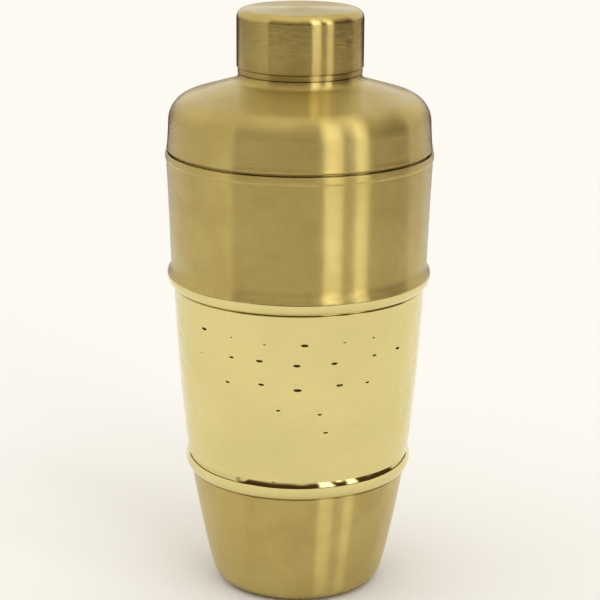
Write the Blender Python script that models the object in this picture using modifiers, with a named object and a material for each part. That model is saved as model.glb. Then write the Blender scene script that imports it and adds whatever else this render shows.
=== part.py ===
"""A three-piece cobbler cocktail shaker in thin brass-coloured sheet, as separate turned pieces.

Tumbler: base cup, hammered band and upper wall, lapped into each other behind two rolled beads.
Lid: shoulder, the neck flanged under it, the skirt that plugs the tumbler, and the strainer.
Cap: shell and the inner sleeve that slides over the neck.

Outlines are lists of (radius, height) in millimetres. The shaker stands on Z = 0, its axis is +Z,
and every outline runs down its outer side and back up its inner side.
"""

import math

import bmesh
import bpy
from mathutils import Matrix, Vector

MM = 0.001
SEGMENTS = 40  # facets round every turned piece
CREASE = math.radians(30)  # edges sharper than this are shaded sharp

SHEET = 0.6  # wall of the tumbler and the lid
CAP_SHEET = 0.5
SLEEVE_SHEET = 0.4
GAP = 0.35  # running gap between neighbouring pieces

# Tumbler: base cup
FOOT_RADIUS = 26.05  # outer edge of the flat ring that it stands on
FOOT_WIDTH = 5.5
FOOT_RECESS = 1.0  # how far the middle of the base is pressed in
BASE_CORNER = 6.5
BASE_CORNER_START = -17.4  # degrees: where the corner meets the wall
LOWER_WALL_BEND = (35.2, 13.0)
LOWER_LAP = (40.55, 44.9)  # where the cup's wall turns in under the lower bead

# Tumbler: hammered band
LOWER_BEAD = (42.8, 49.6)  # crest
LOWER_BEAD_RADIUS = 5.5
LOWER_BEAD_END = -52  # degrees: where its lower edge turns in to the wall
BAND_FOOT = (42.2, 54.2)
BAND_BEND = (45.2, 81.0)
UPPER_LAP = (46.97, 116.6)

# Tumbler: upper wall
UPPER_BEAD = (49.1, 121.0)
UPPER_BEAD_RADIUS = 4.6
UPPER_BEAD_END = -58
UPPER_WALL_FOOT = (47.72, 126.2)
UPPER_WALL_BEND = (48.5, 152.0)
UPPER_WALL_TOP = (49.05, 163.6)
LIP_RADIUS = 49.4
LIP_TOP = 167.4
LIP_ROUND = 0.48  # radius of the folded lip's top
LAP_DEPTH = 11.0  # how far each section goes up inside the next one
LAP_STEP = 0.75  # how far its wall steps in for that

# Lid
LID_EDGE = (48.88, 167.75)
LID_CORNER = 10.0  # radius between the lid's side and its shoulder
LID_CORNER_HEIGHT = 178.5  # height of that radius's centre
SHOULDER_SLOPE = 16.5  # degrees
SHOULDER_BORE = (22.6, 195.9)  # its top edge, round the neck
BORE_FILLET = 3.1
NECK_RADIUS = 21.6
NECK_TOP = 211.2
NECK_FLANGE = 28.0  # outer radius of the flange under the shoulder
SKIRT_RADIUS = 47.2
SKIRT_TOP = 176.2
SKIRT_BOTTOM = 154.0

# Strainer
STRAINER_TOP = 210.0
STRAINER_DEPTH = 7.0
STRAINER_CORNER = 1.0
HOLE_RADIUS = 2.25
HOLE_PITCH = 7.0
HOLE_RINGS = 2
HOLE_SIDES = 12

# Cap
CAP_RADIUS = 23.17
CAP_HEIGHT = 219.4  # height of the cap's top at its corner
CAP_CROWN = 0.3  # rise of the top towards the middle
CAP_CORNER = 3.4
CAP_EDGE = 198.5
SLEEVE_RADIUS = 22.32
SLEEVE_TOP = 213.2
HEM_RADIUS = 22.77
HEM_TOP = 198.2
HEM_BOTTOM = 196.25

BRASS = (0.72, 0.60, 0.27, 1.0)


def arc(centre, radius, start, end, steps):
    """Points on an arc from start to end, in degrees: 0 points away from the axis and 90 up."""
    angles = [math.radians(start + (end - start) * i / steps) for i in range(steps + 1)]
    return [
        (centre[0] + radius * math.cos(a), centre[1] + radius * math.sin(a))
        for a in angles
    ]


def bend(start, control, end, steps):
    """Points on a quadratic curve that leaves start and reaches end along lines to control."""
    points = []
    for i in range(steps + 1):
        t = i / steps
        weights = ((1 - t) ** 2, 2 * t * (1 - t), t**2)
        points.append(
            tuple(sum(w * p[k] for w, p in zip(weights, (start, control, end))) for k in (0, 1))
        )
    return points


def inner_side(outer, thickness):
    """The outer side moved one wall thickness towards the metal's inner face, and reversed."""
    moved = []
    for i, point in enumerate(outer):
        normals = []
        for a, b in ((i - 1, i), (i, i + 1)):
            if a >= 0 and b < len(outer):
                along = (Vector(outer[b]) - Vector(outer[a])).normalized()
                normals.append(Vector((along.y, -along.x)))
        mitre = sum(normals, Vector((0, 0))).normalized()
        moved.append(Vector(point) + mitre * thickness / mitre.dot(normals[0]))
    return [(max(p.x, 0.0), p.y) for p in reversed(moved)]


def brass(name, roughness):
    material = bpy.data.materials.new(name)
    material.use_nodes = True
    shader = material.node_tree.nodes["Principled BSDF"]
    shader.inputs["Base Color"].default_value = BRASS
    shader.inputs["Metallic"].default_value = 1.0
    shader.inputs["Roughness"].default_value = roughness
    return material


def collection(name, hidden=False):
    made = bpy.data.collections.new(name)
    bpy.context.scene.collection.children.link(made)
    made.hide_render = hidden
    return made


def apply_modifiers(piece):
    """Turns the piece into the mesh that its modifiers make, shaded smooth apart from its creases."""
    graph = bpy.context.evaluated_depsgraph_get()
    mesh = bpy.data.meshes.new_from_object(piece.evaluated_get(graph))
    piece.modifiers.clear()
    piece.data = mesh
    mesh.name = piece.name
    mesh.shade_smooth()
    mesh.set_sharp_from_angle(angle=CREASE)


def turned(name, outline, material, parts, closed=True):
    """A turned piece. A closed outline makes a ring, and an open one starts and ends on the axis."""
    count = len(outline)
    edges = [(i, i + 1) for i in range(count - 1)] + ([(count - 1, 0)] if closed else [])
    mesh = bpy.data.meshes.new(name)
    mesh.from_pydata([(r * MM, 0, z * MM) for r, z in outline], edges, [])
    mesh.materials.append(material)
    piece = bpy.data.objects.new(name, mesh)
    parts.objects.link(piece)
    screw = piece.modifiers.new("Turn", "SCREW")
    screw.steps = screw.render_steps = SEGMENTS
    screw.use_merge_vertices = True
    screw.merge_threshold = 0.00002
    bpy.context.view_layer.update()
    apply_modifiers(piece)
    return piece


def lap(point, slope):
    """A section's wall above the bead that hides it: a step in, then the tongue inside the next one."""
    r, z = point
    foot = (r - LAP_STEP, z + LAP_STEP)
    return [(foot[0] + slope * LAP_DEPTH, foot[1] + LAP_DEPTH), foot, point]


def bead(crest, radius, wall, end_angle):
    """A half-round bead below a wall: a hollow fillet from the wall, then an arc over the crest."""
    centre = (crest[0] - radius, crest[1])
    over = arc(centre, radius, 30, end_angle, 6)
    return bend(wall, (wall[0] - 0.02, over[0][1] + 1.1), over[0], 2)[:-1] + over


def base_cup(material, parts):
    corner = arc((FOOT_RADIUS, BASE_CORNER), BASE_CORNER, BASE_CORNER_START, -90, 5)
    recess = FOOT_RADIUS - FOOT_WIDTH
    outer = (
        lap(LOWER_LAP, 0.06)[:-1]
        + bend(LOWER_LAP, LOWER_WALL_BEND, corner[0], 4)[:-1]
        + corner
        + [(recess, 0), (recess - 2, FOOT_RECESS), (0, FOOT_RECESS)]
    )
    inner = inner_side(outer, SHEET)
    return turned("tumbler_base_cup", inner + outer, material, parts, closed=False)


def hammered_band(material, parts):
    outer = (
        lap(UPPER_LAP, 0.035)[:-1]
        + bend(UPPER_LAP, BAND_BEND, BAND_FOOT, 5)[:-1]
        + bead(LOWER_BEAD, LOWER_BEAD_RADIUS, BAND_FOOT, LOWER_BEAD_END)
    )
    outline = outer + inner_side(outer, SHEET)
    return turned("tumbler_hammered_band", outline, material, parts)


def upper_wall(material, parts):
    lip = arc((LIP_RADIUS - LIP_ROUND, LIP_TOP - LIP_ROUND), LIP_ROUND, 90, 0, 3)
    wall = bend(UPPER_WALL_TOP, UPPER_WALL_BEND, UPPER_WALL_FOOT, 4)
    swell = bead(UPPER_BEAD, UPPER_BEAD_RADIUS, UPPER_WALL_FOOT, UPPER_BEAD_END)
    outer_wall = wall[:-1] + swell
    lip_inside = arc(
        (LIP_RADIUS - LIP_ROUND, LIP_TOP - LIP_ROUND), LIP_ROUND, 180, 90, 3
    )
    outline = (
        lip
        + [(LIP_RADIUS, UPPER_WALL_TOP[1] + 0.9)]
        + outer_wall
        + inner_side(outer_wall, SHEET)
        + lip_inside[:-1]
    )
    return turned("tumbler_upper_wall", outline, material, parts)


def bore_fillet(radius):
    """The hollow curve from the neck out on to the shoulder. Its centre is shared by all radii."""
    centre = (SHOULDER_BORE[0] + BORE_FILLET, SHOULDER_BORE[1])
    return arc(centre, radius, 180, 270 - SHOULDER_SLOPE, 4)


def lid_shoulder(material, parts):
    corner_centre = (LID_EDGE[0] - 0.7 - LID_CORNER, LID_CORNER_HEIGHT)
    corner = arc(corner_centre, LID_CORNER, 90 - SHOULDER_SLOPE, 0, 6)
    side = bend(corner[-1], (LID_EDGE[0] - 0.55, 174.0), LID_EDGE, 2)
    outer = bore_fillet(BORE_FILLET) + corner + side[1:]
    return turned("lid_shoulder", outer + inner_side(outer, SHEET), material, parts)


def lid_neck(material, parts):
    """A tube that stands up through the shoulder's bore, with a flange against its underside."""
    fillet = bore_fillet(SHOULDER_BORE[0] + BORE_FILLET - NECK_RADIUS)
    fall = (NECK_FLANGE - fillet[-1][0]) * math.tan(math.radians(SHOULDER_SLOPE))
    outer = [(NECK_RADIUS, NECK_TOP)] + fillet + [(NECK_FLANGE, fillet[-1][1] - fall)]
    return turned("lid_neck", outer + inner_side(outer, SHEET), material, parts)


def lid_skirt(material, parts):
    outer = [
        (SKIRT_RADIUS, SKIRT_TOP),
        (SKIRT_RADIUS, SKIRT_BOTTOM + 2.0),
        (SKIRT_RADIUS - 0.15, SKIRT_BOTTOM + 1.0),
        (SKIRT_RADIUS - 0.6, SKIRT_BOTTOM),
    ]
    outline = outer + inner_side(outer, SHEET)
    return turned("lid_skirt", outline, material, parts)


def hole_cutter(cutters):
    """Plugs for the strainer's holes: one in the middle, then rings of 6, 12 and so on."""
    places = [(0.0, 0.0)]
    for ring in range(1, HOLE_RINGS + 1):
        count = 6 * ring
        for i in range(count):
            angle = math.tau * i / count
            reach = ring * HOLE_PITCH
            places.append((reach * math.cos(angle), reach * math.sin(angle)))
    plugs = bmesh.new()
    for x, y in places:
        bmesh.ops.create_cone(
            plugs,
            cap_ends=True,
            segments=HOLE_SIDES,
            radius1=HOLE_RADIUS * MM,
            radius2=HOLE_RADIUS * MM,
            depth=8 * SHEET * MM,
            matrix=Matrix.Translation((x * MM, y * MM, STRAINER_TOP * MM)),
        )
    mesh = bpy.data.meshes.new("strainer_holes")
    plugs.to_mesh(mesh)
    plugs.free()
    cutter = bpy.data.objects.new("strainer_holes", mesh)
    cutters.objects.link(cutter)
    cutter.hide_render = True
    cutter.display_type = "WIRE"
    return cutter


def strainer(material, parts, cutters):
    """A shallow dish, open below, pressed into the neck, with its floor at the top."""
    radius = NECK_RADIUS - SHEET - GAP
    corner = arc(
        (radius - STRAINER_CORNER, STRAINER_TOP - STRAINER_CORNER), STRAINER_CORNER, 90, 0, 3
    )
    outer = [(0, STRAINER_TOP)] + corner + [(radius, STRAINER_TOP - STRAINER_DEPTH)]
    outline = outer + inner_side(outer, SHEET)
    plate = turned("strainer_plate", outline, material, parts, closed=False)
    cut = plate.modifiers.new("Holes", "BOOLEAN")
    cut.operation = "DIFFERENCE"
    cut.object = hole_cutter(cutters)
    bpy.context.view_layer.update()
    apply_modifiers(plate)
    return plate


def cap_shell(material, parts):
    centre = (CAP_RADIUS - CAP_CORNER, CAP_HEIGHT - CAP_CORNER)
    corner = arc(centre, CAP_CORNER, 90, 0, 6)
    crown = bend(
        (0, CAP_HEIGHT + CAP_CROWN),
        (centre[0] / 2, CAP_HEIGHT + CAP_CROWN),
        corner[0],
        3,
    )
    outer = crown[:-1] + corner + [(CAP_RADIUS, CAP_EDGE)]
    outline = outer + inner_side(outer, CAP_SHEET)
    return turned("cap_shell", outline, material, parts, closed=False)


def cap_sleeve(material, parts):
    """A thin liner whose lower end is hemmed outwards, just below the shell's edge."""
    inside = SLEEVE_RADIUS - SLEEVE_SHEET
    outline = [
        (SLEEVE_RADIUS, SLEEVE_TOP),
        (SLEEVE_RADIUS, HEM_TOP),
        (HEM_RADIUS - 0.1, HEM_TOP),
        (HEM_RADIUS, HEM_TOP - 0.25),
        (HEM_RADIUS, HEM_BOTTOM + 0.2),
        (HEM_RADIUS - 0.2, HEM_BOTTOM),
        (inside, HEM_BOTTOM),
        (inside, SLEEVE_TOP),
    ]
    return turned("cap_sleeve", outline, material, parts)


def main():
    for old in list(bpy.data.objects):
        bpy.data.objects.remove(old)
    parts = collection("cocktail_shaker")
    cutters = collection("cutters", hidden=True)
    satin = brass("satin_brass", 0.35)
    polished = brass("polished_brass", 0.12)
    cup = base_cup(satin, parts)
    hammered_band(polished, parts).parent = cup
    upper_wall(satin, parts).parent = cup
    lid = lid_shoulder(satin, parts)
    lid.parent = cup
    lid_neck(satin, parts).parent = lid
    lid_skirt(satin, parts).parent = lid
    strainer(satin, parts, cutters).parent = lid
    cap = cap_shell(satin, parts)
    cap.parent = lid
    cap_sleeve(satin, parts).parent = cap


main()
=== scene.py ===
"""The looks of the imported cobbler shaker: fine turned metal in place of the CAD pieces, and the studio.

Every outline is a list of (radius, height) in millimetres that runs down the outer side of a piece.
The shaker stands on Z = 0 with its axis on +Z, and the camera looks along +Y.
"""

import math
import random

import bmesh
import bpy
import numpy as np
from mathutils import Matrix, Vector


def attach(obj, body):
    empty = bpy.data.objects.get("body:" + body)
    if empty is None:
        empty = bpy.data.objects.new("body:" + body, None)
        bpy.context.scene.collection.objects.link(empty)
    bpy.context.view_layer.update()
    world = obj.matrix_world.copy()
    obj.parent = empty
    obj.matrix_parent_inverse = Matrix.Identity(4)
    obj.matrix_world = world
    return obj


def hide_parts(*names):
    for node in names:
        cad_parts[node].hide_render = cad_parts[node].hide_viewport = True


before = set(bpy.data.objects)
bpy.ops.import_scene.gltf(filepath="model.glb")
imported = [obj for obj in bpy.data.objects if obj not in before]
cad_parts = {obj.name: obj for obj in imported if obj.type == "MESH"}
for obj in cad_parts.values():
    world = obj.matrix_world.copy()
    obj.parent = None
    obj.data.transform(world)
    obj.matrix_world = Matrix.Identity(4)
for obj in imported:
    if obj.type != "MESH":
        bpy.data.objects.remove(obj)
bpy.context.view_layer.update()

MM = 0.001
SEGMENTS = 256  # facets round a plain turned piece
BAND_SEGMENTS = 400  # and round the hammered one
CREASE = math.radians(32)
EDGE_ROUND = 0.11  # radius on the cut edges of the sheet

# The sizes below are the CAD's own.
SHEET = 0.6
CAP_SHEET = 0.5
SLEEVE_SHEET = 0.4
GAP = 0.35

FOOT_RADIUS = 26.05
FOOT_WIDTH = 5.5
FOOT_RECESS = 1.0
BASE_CORNER = 6.5
BASE_CORNER_START = -17.4
LOWER_WALL_BEND = (35.2, 13.0)
LOWER_LAP = (40.55, 44.9)
LOWER_BEAD = (42.8, 49.6)
LOWER_BEAD_RADIUS = 5.5
LOWER_BEAD_END = -52
BAND_FOOT = (42.2, 54.2)
BAND_BEND = (45.2, 81.0)
UPPER_LAP = (46.97, 116.6)
UPPER_BEAD = (49.1, 121.0)
UPPER_BEAD_RADIUS = 4.6
UPPER_BEAD_END = -58
UPPER_WALL_FOOT = (47.72, 126.2)
UPPER_WALL_BEND = (48.5, 152.0)
UPPER_WALL_TOP = (49.05, 163.6)
LIP_RADIUS = 49.4
LIP_TOP = 167.4
LIP_ROUND = 0.48
LAP_DEPTH = 11.0
LAP_STEP = 0.75
LID_EDGE = (48.88, 167.75)
LID_CORNER = 10.0
LID_CORNER_HEIGHT = 178.5
SHOULDER_SLOPE = 16.5
SHOULDER_BORE = (22.6, 195.9)
BORE_FILLET = 3.1
NECK_RADIUS = 21.6
NECK_TOP = 211.2
NECK_FLANGE = 28.0
SKIRT_RADIUS = 47.2
SKIRT_TOP = 176.2
SKIRT_BOTTOM = 154.0
STRAINER_TOP = 210.0
STRAINER_DEPTH = 7.0
STRAINER_CORNER = 1.0
HOLE_RADIUS = 2.25
HOLE_PITCH = 7.0
HOLE_RINGS = 2
CAP_RADIUS = 23.17
CAP_HEIGHT = 219.4
CAP_CROWN = 0.3
CAP_CORNER = 3.4
CAP_EDGE = 198.5
SLEEVE_RADIUS = 22.32
SLEEVE_TOP = 213.2
HEM_RADIUS = 22.77
HEM_TOP = 198.2
HEM_BOTTOM = 196.25

# Hammer marks: (height, azimuth of one mark in degrees, strength) of each row.
HAMMER_ROWS = (
    (107.4, 3.5, 1.0),
    (99.7, 1.0, 1.05),
    (90.4, 0.5, 1.1),
    (81.0, 10.0, 1.1),
    (72.0, 13.5, 1.0),
    (63.2, 5.0, 0.7),
    (53.2, 4.0, 0.45),
)
MARKS_ROUND = 21
HAMMERED = (48.0, 116.0)  # the heights that the marks stay between
MARK_DEPTH = 0.33  # each mark is a small sharp dent
MARK_WIDE = 1.4
MARK_TALL = 0.7
DISH_DEPTH = 0.14  # in a broad shallow one
DISH_WIDE = 4.2
DISH_TALL = 3.2
GROOVE_HEIGHT = 114.4  # the shallow groove between the top row of marks and the upper bead
GROOVE_DEPTH = 0.155
GROOVE_WIDTH = 1.6
POLISH_TOP = 121.45  # the satin stops here, just above the upper bead's crest

# Camera
LENS = 120.0
DISTANCE = 0.752
PITCH = 15.95  # degrees below the horizon
AIM_HEIGHT = 0.1097
YAW = -0.0387
ROLL = 0.36


# ---------------------------------------------------------------- outlines


def arc(centre, radius, start, end, steps):
    angles = [math.radians(start + (end - start) * i / steps) for i in range(steps + 1)]
    return [(centre[0] + radius * math.cos(a), centre[1] + radius * math.sin(a)) for a in angles]


def bend(start, control, end, steps):
    points = []
    for i in range(steps + 1):
        t = i / steps
        weights = ((1 - t) ** 2, 2 * t * (1 - t), t**2)
        points.append(
            tuple(sum(w * p[k] for w, p in zip(weights, (start, control, end))) for k in (0, 1))
        )
    return points


def inner_side(outer, thickness):
    moved = []
    for i, point in enumerate(outer):
        normals = []
        for a, b in ((i - 1, i), (i, i + 1)):
            if a >= 0 and b < len(outer):
                along = (Vector(outer[b]) - Vector(outer[a])).normalized()
                normals.append(Vector((along.y, -along.x)))
        mitre = sum(normals, Vector((0, 0))).normalized()
        moved.append(Vector(point) + mitre * thickness / mitre.dot(normals[0]))
    return [(max(p.x, 0.0), p.y) for p in reversed(moved)]


def lap(point, slope):
    r, z = point
    foot = (r - LAP_STEP, z + LAP_STEP)
    return [(foot[0] + slope * LAP_DEPTH, foot[1] + LAP_DEPTH), foot, point]


def bead(crest, radius, wall, end_angle):
    centre = (crest[0] - radius, crest[1])
    over = arc(centre, radius, 30, end_angle, 26)
    return bend(wall, (wall[0] - 0.02, over[0][1] + 1.1), over[0], 12)[:-1] + over


def bore_fillet(radius):
    centre = (SHOULDER_BORE[0] + BORE_FILLET, SHOULDER_BORE[1])
    return arc(centre, radius, 180, 270 - SHOULDER_SLOPE, 14)


def softened(outline, closed):
    """The outline with its cut edges, the turns of more than 50 degrees, rounded off."""
    points = [Vector(p) for p in outline]
    count = len(points)
    soft = []
    for i, point in enumerate(points):
        if not closed and i in (0, count - 1):
            soft.append(point)
            continue
        before = point - points[i - 1]
        after = points[(i + 1) % count] - point
        turn = before.angle(after, 0.0)
        if turn < math.radians(50):
            soft.append(point)
            continue
        cut = min(EDGE_ROUND * math.tan(turn / 2), 0.45 * before.length, 0.45 * after.length)
        a = point - before.normalized() * cut
        b = point + after.normalized() * cut
        soft += [Vector(p) for p in bend(a, point, b, 5)]
    return [tuple(p) for p in soft]


def groove(z):
    return -GROOVE_DEPTH * math.exp(-(((z - GROOVE_HEIGHT) / GROOVE_WIDTH) ** 2))


# ---------------------------------------------------------------- meshes


def turned(name, outline, closed=True, segments=SEGMENTS, shift=None):
    """A turned mesh object. shift(angles, radius, z) gives what is added to each radius, in mm."""
    angles = np.arange(segments) * math.tau / segments
    rings = []
    points = []
    for r, z in outline:
        if r < 1e-6:
            rings.append([len(points)] * segments)
            points.append((0.0, 0.0, z))
            continue
        reach = np.full(segments, r)
        if shift is not None:
            reach = reach + shift(angles, r, z)
        rings.append(list(range(len(points), len(points) + segments)))
        points += list(zip(reach * np.cos(angles), reach * np.sin(angles), np.full(segments, z)))
    faces = []
    pairs = list(zip(rings, rings[1:] + rings[:1])) if closed else list(zip(rings, rings[1:]))
    for upper, lower in pairs:
        for i in range(segments):
            j = (i + 1) % segments
            face = (upper[i], lower[i], lower[j], upper[j])
            faces.append(tuple(dict.fromkeys(face)))
    mesh = bpy.data.meshes.new(name)
    mesh.from_pydata([(x * MM, y * MM, z * MM) for x, y, z in points], [], faces)
    mesh.shade_smooth()
    mesh.set_sharp_from_angle(angle=CREASE)
    made = bpy.data.objects.new(name, mesh)
    bpy.context.scene.collection.objects.link(made)
    return made


def sheet(outer, thickness):
    return outer + inner_side(outer, thickness)


def base_cup():
    corner = arc((FOOT_RADIUS, BASE_CORNER), BASE_CORNER, BASE_CORNER_START, -90, 24)
    recess = FOOT_RADIUS - FOOT_WIDTH
    outer = (
        lap(LOWER_LAP, 0.06)[:-1]
        + bend(LOWER_LAP, LOWER_WALL_BEND, corner[0], 40)[:-1]
        + corner
        + bend((recess, 0), (recess - 0.7, 0), (recess - 1, FOOT_RECESS / 2), 6)
        + bend((recess - 1, FOOT_RECESS / 2), (recess - 1.3, FOOT_RECESS), (recess - 2, FOOT_RECESS), 6)[1:]
        + [(0, FOOT_RECESS)]
    )
    outline = inner_side(outer, SHEET) + outer
    return turned("base_cup_fine", softened(outline, False), closed=False)


def hammer_marks():
    """(azimuth, height, depth factor, size factor) of every mark, unevenly placed as handwork is."""
    chance = random.Random(7)
    marks = []
    for height, phase, strength in HAMMER_ROWS:
        for i in range(MARKS_ROUND):
            azimuth = phase + 360 * i / MARKS_ROUND + chance.uniform(-2.2, 2.2)
            marks.append(
                (
                    math.radians(azimuth - 90),
                    height + chance.uniform(-1.0, 1.0),
                    strength * chance.uniform(0.75, 1.15),
                    chance.uniform(0.85, 1.2),
                )
            )
    return marks


def hammered(marks):
    """The radial shift of the band's wall at each angle, for turned()."""
    places = np.array(marks)

    def shift(angles, radius, z):
        if not HAMMERED[0] < z < HAMMERED[1]:
            return np.zeros_like(angles)
        total = np.zeros_like(angles)
        for azimuth, height, depth, size in places[np.abs(places[:, 1] - z) < 3 * DISH_TALL]:
            across = (np.angle(np.exp(1j * (angles - azimuth)))) * radius
            up = z - height
            sharp = (across / (MARK_WIDE * size)) ** 2 + (up / (MARK_TALL * size)) ** 2
            broad = (across / DISH_WIDE) ** 2 + (up / DISH_TALL) ** 2
            total -= MARK_DEPTH * depth * np.exp(-0.5 * sharp)
            total -= DISH_DEPTH * np.exp(-0.5 * broad)
        return total

    return shift


def hammered_band():
    wall = bend(UPPER_LAP, BAND_BEND, BAND_FOOT, 150)
    wall = [(r + groove(z), z) for r, z in wall]
    swell = bead(LOWER_BEAD, LOWER_BEAD_RADIUS, BAND_FOOT, LOWER_BEAD_END)
    outer = lap(wall[0], 0.035)[:-1] + wall[:-1] + swell
    kept = 38  # points at the bead's end that the inner side keeps all of, where the wall needs every sixth
    inner = inner_side(outer[:2] + outer[2:-kept:6] + outer[-kept:], SHEET)
    outline = softened(outer + inner, True)
    return turned("hammered_band_fine", outline, segments=BAND_SEGMENTS, shift=hammered(hammer_marks()))


def upper_wall():
    lip_centre = (LIP_RADIUS - LIP_ROUND, LIP_TOP - LIP_ROUND)
    wall = bend(UPPER_WALL_TOP, UPPER_WALL_BEND, UPPER_WALL_FOOT, 30)
    swell = bead(UPPER_BEAD, UPPER_BEAD_RADIUS, UPPER_WALL_FOOT, UPPER_BEAD_END)
    fold = bend((LIP_RADIUS, 165.6), (LIP_RADIUS, 164.6), (UPPER_WALL_TOP[0] + 0.02, 164.3), 6)
    outer_wall = wall[:-1] + swell
    outline = (
        arc(lip_centre, LIP_ROUND, 90, 0, 10)
        + fold
        + outer_wall
        + inner_side(outer_wall, SHEET)
        + arc(lip_centre, LIP_ROUND, 180, 90, 10)[:-1]
    )
    return turned("upper_wall_fine", softened(outline, True))


def lid_shoulder():
    corner_centre = (LID_EDGE[0] - 0.7 - LID_CORNER, LID_CORNER_HEIGHT)
    corner = arc(corner_centre, LID_CORNER, 90 - SHOULDER_SLOPE, 0, 28)
    side = bend(corner[-1], (LID_EDGE[0] - 0.55, 174.0), LID_EDGE, 12)
    outer = bore_fillet(BORE_FILLET) + corner + side[1:-2]
    edge = [(LID_EDGE[0] - 0.04, LID_EDGE[1] + 1.6), (LID_EDGE[0] - 0.02, LID_EDGE[1] + 1.2)]
    roll = arc((LID_EDGE[0] - 0.42, LID_EDGE[1] + 0.95), 0.4, 0, -90, 8)
    step = [(LID_EDGE[0] - r, LID_EDGE[1] + z) for r, z in ((0.58, 0.35), (0.6, 0), (1.05, 0), (1.05, 0.9))]
    inner = inner_side(outer, SHEET)
    return turned("shoulder_fine", softened(outer + edge + roll + step + inner, True))


def lid_neck():
    fillet = bore_fillet(SHOULDER_BORE[0] + BORE_FILLET - NECK_RADIUS)
    fall = (NECK_FLANGE - fillet[-1][0]) * math.tan(math.radians(SHOULDER_SLOPE))
    outer = [(NECK_RADIUS, NECK_TOP)] + fillet + [(NECK_FLANGE, fillet[-1][1] - fall)]
    return turned("neck_fine", softened(sheet(outer, SHEET), True))


def lid_skirt():
    start = (SKIRT_RADIUS, SKIRT_BOTTOM + 2.6)
    turn_in = bend(start, (SKIRT_RADIUS, SKIRT_BOTTOM + 0.9), (SKIRT_RADIUS - 0.6, SKIRT_BOTTOM), 8)
    outer = [(SKIRT_RADIUS, SKIRT_TOP)] + turn_in
    return turned("skirt_fine", softened(sheet(outer, SHEET), True))


def cap_shell():
    centre = (CAP_RADIUS - CAP_CORNER, CAP_HEIGHT - CAP_CORNER)
    corner = arc(centre, CAP_CORNER, 90, 0, 20)
    crown = bend((0, CAP_HEIGHT + CAP_CROWN), (centre[0] / 2, CAP_HEIGHT + CAP_CROWN), corner[0], 12)
    outer = crown[:-1] + corner + [(CAP_RADIUS, CAP_EDGE)]
    return turned("cap_fine", softened(sheet(outer, CAP_SHEET), False), closed=False)


def cap_sleeve():
    inside = SLEEVE_RADIUS - SLEEVE_SHEET
    outline = [
        (SLEEVE_RADIUS, SLEEVE_TOP),
        (SLEEVE_RADIUS, HEM_TOP),
        (HEM_RADIUS, HEM_TOP),
        (HEM_RADIUS, HEM_BOTTOM),
        (inside, HEM_BOTTOM),
        (inside, SLEEVE_TOP),
    ]
    return turned("cap_sleeve_fine", softened(outline, True))


def hole_plugs():
    """One mesh of round plugs: one in the middle, then rings of 6 and 12."""
    places = [(0.0, 0.0)]
    for ring in range(1, HOLE_RINGS + 1):
        for i in range(6 * ring):
            angle = math.tau * i / (6 * ring)
            places.append((ring * HOLE_PITCH * math.cos(angle), ring * HOLE_PITCH * math.sin(angle)))
    plugs = bmesh.new()
    for x, y in places:
        bmesh.ops.create_cone(
            plugs,
            cap_ends=True,
            segments=48,
            radius1=HOLE_RADIUS * MM,
            radius2=HOLE_RADIUS * MM,
            depth=8 * SHEET * MM,
            matrix=Matrix.Translation((x * MM, y * MM, STRAINER_TOP * MM)),
        )
    mesh = bpy.data.meshes.new("plugs")
    plugs.to_mesh(mesh)
    plugs.free()
    return mesh


def strainer_plate():
    """A shallow dish, open below, with a ring pattern of round holes in its flat top."""
    radius = NECK_RADIUS - SHEET - GAP
    centre = (radius - STRAINER_CORNER, STRAINER_TOP - STRAINER_CORNER)
    corner = arc(centre, STRAINER_CORNER, 90, 0, 10)
    outer = [(0, STRAINER_TOP)] + corner + [(radius, STRAINER_TOP - STRAINER_DEPTH)]
    plate = turned("strainer_fine", softened(sheet(outer, SHEET), False), closed=False, segments=128)
    cutter = bpy.data.objects.new("plugs", hole_plugs())
    bpy.context.scene.collection.objects.link(cutter)
    cut = plate.modifiers.new("Holes", "BOOLEAN")
    cut.operation = "DIFFERENCE"
    cut.solver = "EXACT"
    cut.object = cutter
    bpy.context.view_layer.update()
    graph = bpy.context.evaluated_depsgraph_get()
    mesh = bpy.data.meshes.new_from_object(plate.evaluated_get(graph))
    plate.modifiers.clear()
    plate.data = mesh
    bpy.data.objects.remove(cutter)
    mesh.shade_smooth()
    mesh.set_sharp_from_angle(angle=CREASE)
    return plate


# ---------------------------------------------------------------- materials

SATIN_COLOUR = (0.60, 0.48, 0.17)
POLISH_COLOUR = (0.74, 0.645, 0.28)
COARSE_LINE = (0.0006, 0.008)  # pitch and length of the brushing that shows in the colour, in metres
FINE_LINE = (0.00014, 0.004)  # and of the brushing that tilts the surface
FINE_TILT = 0.35


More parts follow.
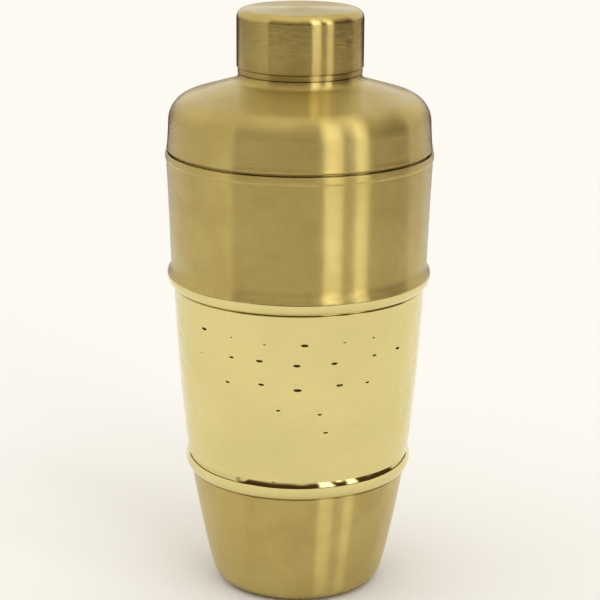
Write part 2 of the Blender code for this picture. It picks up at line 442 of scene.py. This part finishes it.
class Graph:
    """A node tree with a short way to add nodes."""

    def __init__(self, tree):
        self.tree = tree
        tree.nodes.clear()

    def add(self, kind, settings=None, **inputs):
        node = self.tree.nodes.new("ShaderNode" + kind)
        for key, value in (settings or {}).items():
            setattr(node, key, value)
        for key, value in inputs.items():
            socket = node.inputs[int(key[1:]) if key[1:].isdigit() else key.replace("_", " ")]
            if isinstance(value, bpy.types.NodeSocket):
                self.tree.links.new(value, socket)
            else:
                socket.default_value = value
        return node

    def maths(self, operation, *values):
        inputs = {f"i{i}": v for i, v in enumerate(values)}
        return self.add("Math", {"operation": operation}, **inputs).outputs[0]

    def steps(self, value, low, high, out_low=0.0, out_high=1.0):
        node = self.add("MapRange", {"interpolation_type": "SMOOTHSTEP"}, Value=value)
        node.inputs["From Min"].default_value = low
        node.inputs["From Max"].default_value = high
        node.inputs["To Min"].default_value = out_low
        node.inputs["To Max"].default_value = out_high
        return node.outputs["Result"]

    def mix(self, factor, a, b):
        node = self.add("Mix", {"data_type": "RGBA"})
        for socket, value in (("Factor", factor), ("A", a), ("B", b)):
            found = [s for s in node.inputs if s.name == socket and s.enabled][0]
            if isinstance(value, bpy.types.NodeSocket):
                self.tree.links.new(value, found)
            else:
                found.default_value = value
        return [s for s in node.outputs if s.enabled][0]


def brushing(graph, pitch, length):
    """Noise drawn out along the lines that run round the axis, on walls and on tops alike."""
    place = graph.add("TexCoord").outputs["Object"]
    parts = graph.add("SeparateXYZ", Vector=place).outputs
    level = graph.add("CombineXYZ", X=parts[0], Y=parts[1], Z=0.0).outputs[0]
    reach = graph.add("VectorMath", {"operation": "LENGTH"}, i0=level).outputs["Value"]
    across = graph.maths("DIVIDE", graph.maths("SUBTRACT", parts[2], reach), pitch)
    x = graph.maths("DIVIDE", parts[0], length)
    y = graph.maths("DIVIDE", parts[1], length)
    vector = graph.add("CombineXYZ", X=x, Y=y, Z=across).outputs[0]
    return graph.add("TexNoise", Vector=vector, Scale=1.0, Detail=1.0, Roughness=0.6).outputs["Fac"]


def satin(name, colour, roughness, spread):
    """Brushed round the axis: each fine line tilts the surface up or down, never sideways."""
    material = bpy.data.materials.new(name)
    material.use_nodes = True
    graph = Graph(material.node_tree)
    place = graph.add("TexCoord").outputs["Object"]
    cloud = graph.add("TexNoise", Vector=place, Scale=55.0, Detail=5.0, Roughness=0.6).outputs["Fac"]
    grain = brushing(graph, *COARSE_LINE)
    light = tuple(c * 1.03 for c in colour) + (1,)
    dull = tuple(c * f for c, f in zip(colour, (0.92, 0.89, 0.84))) + (1,)
    tone = graph.mix(graph.steps(cloud, 0.36, 0.66), light, dull)
    tone = graph.mix(graph.steps(grain, 0.3, 0.7, 0.0, 0.3), tone, dull)
    tangent = graph.add("Tangent", {"direction_type": "RADIAL", "axis": "Z"}).outputs[0]
    normal = graph.add("NewGeometry").outputs["Normal"]
    up = graph.add("VectorMath", {"operation": "CROSS_PRODUCT"}, i0=normal, i1=tangent).outputs[0]
    chance = graph.add("TexWhiteNoise", Vector=place).outputs["Color"]
    chance = graph.add("VectorMath", {"operation": "DOT_PRODUCT"}, i0=chance, i1=(1, 1, 1)).outputs["Value"]
    tilt = graph.maths("MULTIPLY", graph.maths("SUBTRACT", chance, 1.5), spread)
    line = graph.maths("SUBTRACT", brushing(graph, *FINE_LINE), 0.5)
    tilt = graph.maths("MULTIPLY_ADD", line, FINE_TILT, tilt)
    tilted = graph.add("VectorMath", {"operation": "SCALE"}, i0=up, Scale=tilt).outputs[0]
    tilted = graph.add("VectorMath", {"operation": "ADD"}, i0=normal, i1=tilted).outputs[0]
    tilted = graph.add("VectorMath", {"operation": "NORMALIZE"}, i0=tilted).outputs[0]
    shader = graph.add("BsdfPrincipled", Base_Color=tone, Normal=tilted, Tangent=tangent)
    shader.inputs["Metallic"].default_value = 1.0
    rough = graph.steps(cloud, 0.25, 0.8, roughness - 0.02, roughness + 0.03)
    graph.tree.links.new(rough, shader.inputs["Roughness"])
    shader.inputs["Anisotropic"].default_value = 1.0
    shader.inputs["Anisotropic Rotation"].default_value = 0.25
    out = graph.add("OutputMaterial")
    graph.tree.links.new(shader.outputs[0], out.inputs["Surface"])
    return material


def polished(name, colour, roughness):
    material = bpy.data.materials.new(name)
    material.use_nodes = True
    graph = Graph(material.node_tree)
    place = graph.add("TexCoord").outputs["Object"]
    cloud = graph.add("TexNoise", Vector=place, Scale=120.0, Detail=3.0, Roughness=0.5).outputs["Fac"]
    smudge = graph.add("TexNoise", Vector=place, Scale=30.0, Detail=5.0, Roughness=0.6).outputs["Fac"]
    tone = graph.mix(graph.steps(smudge, 0.35, 0.72), colour + (1,), tuple(c * 0.93 for c in colour) + (1,))
    bump = graph.add("Bump", Strength=0.12, Distance=0.0002, Height=cloud).outputs[0]
    shader = graph.add("BsdfPrincipled", Base_Color=tone, Normal=bump)
    shader.inputs["Metallic"].default_value = 1.0
    rough = graph.steps(smudge, 0.3, 0.8, roughness, roughness + 0.05)
    graph.tree.links.new(rough, shader.inputs["Roughness"])
    out = graph.add("OutputMaterial")
    graph.tree.links.new(shader.outputs[0], out.inputs["Surface"])
    return material


# ---------------------------------------------------------------- studio

# A plain soft studio: a pale ceiling, two pale walls and two windows at the right, in a dark room.
DARK = (0.10, 0.05, 0.025)
CEILING = (1.25, 1.18, 1.05)
WALL = (1.1, 1.05, 0.95)
WINDOW = (3.0, 3.0, 3.0)
# (from, to, colour) of each, in degrees round the shaker: 0 is behind the camera, +90 is to its right.
PANELS = (
    (-150, -60, WALL),
    (110, 210, WALL),
    (22, 38, WINDOW),
    (50, 62, WINDOW),
)
PANEL_TOP = 60  # degrees above the horizon, which the panels stand on
PANEL_SOFT = 3  # degrees that a panel's edge fades to either side, and its foot upwards
CEILING_FADE = (20, 50)  # degrees above the horizon over which the dark turns to ceiling
ROOM_STRENGTH = 0.8
BACKDROP = (0.99, 0.955, 0.886)  # what the camera sees past the table: the colour of its lit top
TABLE = 0.75  # metres from the middle to each edge
LAMP_ENERGY = 0.8
LAMP_SPREAD = 100  # degrees, so that shadows are soft


def room():
    """The world: the dark room and its panels light the scene, and the camera sees a plain backdrop."""
    world = bpy.data.worlds.new("room")
    bpy.context.scene.world = world
    world.use_nodes = True
    graph = Graph(world.node_tree)
    direction = graph.add("TexCoord").outputs["Generated"]
    x, y, z = graph.add("SeparateXYZ", Vector=direction).outputs
    rise = graph.maths("MULTIPLY", graph.maths("ARCSINE", z), 180 / math.pi)
    colour = graph.mix(graph.steps(rise, *CEILING_FADE), DARK + (1,), CEILING + (1,))
    round_about = graph.maths("ARCTAN2", x, graph.maths("MULTIPLY", y, -1.0))
    round_about = graph.maths("MULTIPLY", round_about, 180 / math.pi)
    foot = graph.steps(rise, 0, PANEL_SOFT)
    top = graph.steps(rise, PANEL_TOP - PANEL_SOFT, PANEL_TOP + PANEL_SOFT, 1.0, 0.0)
    standing = graph.maths("MULTIPLY", foot, top)
    for left, right, tint in PANELS:
        off = graph.maths("SUBTRACT", round_about, (left + right) / 2)
        off = graph.maths("ABSOLUTE", graph.maths("WRAP", off, -180.0, 180.0))
        half = (right - left) / 2
        across = graph.steps(off, half - PANEL_SOFT, half + PANEL_SOFT, 1.0, 0.0)
        colour = graph.mix(graph.maths("MULTIPLY", across, standing), colour, tint + (1,))
    seen = graph.add("LightPath").outputs["Is Camera Ray"]
    colour = graph.mix(seen, colour, tuple(c / ROOM_STRENGTH for c in BACKDROP) + (1,))
    back = graph.add("Background", Color=colour, Strength=ROOM_STRENGTH)
    out = graph.add("OutputWorld")
    graph.tree.links.new(back.outputs[0], out.inputs["Surface"])


def floor():
    """One plain pale table top, seen by the camera and by the metal alike."""
    mesh = bpy.data.meshes.new("floor")
    corners = ((-TABLE, -TABLE), (TABLE, -TABLE), (TABLE, TABLE), (-TABLE, TABLE))
    mesh.from_pydata([(x, y, -0.0002) for x, y in corners], [], [(0, 1, 2, 3)])
    made = bpy.data.objects.new("floor", mesh)
    bpy.context.scene.collection.objects.link(made)
    material = bpy.data.materials.new("floor")
    material.use_nodes = True
    mesh.materials.append(material)
    shader = material.node_tree.nodes["Principled BSDF"]
    shader.inputs["Base Color"].default_value = (0.86, 0.86, 0.86, 1)
    shader.inputs["Roughness"].default_value = 0.9
    shader.inputs["Specular IOR Level"].default_value = 0.0


def studio():
    room()
    floor()
    lamp = bpy.data.lights.new("overhead", "SUN")
    lamp.energy = LAMP_ENERGY
    lamp.angle = math.radians(LAMP_SPREAD)
    lamp_object = bpy.data.objects.new("overhead", lamp)
    lamp_object.rotation_euler = (math.radians(12), math.radians(-8), 0)
    lamp_object.visible_glossy = False
    bpy.context.scene.collection.objects.link(lamp_object)


def camera():
    data = bpy.data.cameras.new("camera")
    data.lens = LENS
    data.sensor_width = 36.0
    made = bpy.data.objects.new("camera", data)
    bpy.context.scene.collection.objects.link(made)
    pitch = math.radians(PITCH)
    place = Vector((0, -DISTANCE * math.cos(pitch), AIM_HEIGHT + DISTANCE * math.sin(pitch)))
    turn = (
        Matrix.Rotation(math.radians(YAW), 4, "Z")
        @ Matrix.Rotation(math.radians(90 - PITCH), 4, "X")
        @ Matrix.Rotation(math.radians(ROLL), 4, "Z")
    )
    made.matrix_world = Matrix.Translation(place) @ turn
    bpy.context.scene.camera = made
    bpy.context.scene.view_settings.view_transform = "Standard"


# ---------------------------------------------------------------- assembly


def stand_for(made, node, body, materials):
    for material in materials:
        made.data.materials.append(material)
    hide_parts(node)
    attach(made, body)


def main():
    satin_metal = satin("satin_brass", SATIN_COLOUR, 0.2, 0.6)
    base_metal = satin("satin_base", SATIN_COLOUR, 0.2, 0.66)
    cap_metal = satin("satin_cap", SATIN_COLOUR, 0.17, 0.27)
    inner_metal = satin("satin_inside", SATIN_COLOUR, 0.3, 0.4)
    mirror = polished("polished_brass", POLISH_COLOUR, 0.045)
    stand_for(base_cup(), "tumbler_base_cup", "tumbler", [base_metal])
    stand_for(hammered_band(), "tumbler_hammered_band", "tumbler", [mirror])
    wall = upper_wall()
    stand_for(wall, "tumbler_upper_wall", "tumbler", [satin_metal, mirror])
    for face in wall.data.polygons:
        reach = math.hypot(face.center.x, face.center.y)
        if face.center.z < POLISH_TOP * MM and reach > (UPPER_LAP[0] - 0.1) * MM:
            face.material_index = 1
    stand_for(lid_shoulder(), "lid_shoulder", "lid", [satin_metal])
    stand_for(lid_neck(), "lid_neck", "lid", [satin_metal])
    stand_for(lid_skirt(), "lid_skirt", "lid", [inner_metal])
    stand_for(cap_shell(), "cap_shell", "cap", [cap_metal])
    stand_for(cap_sleeve(), "cap_sleeve", "cap", [inner_metal])
    stand_for(strainer_plate(), "strainer_plate", "lid", [inner_metal])
    studio()
    camera()


main()
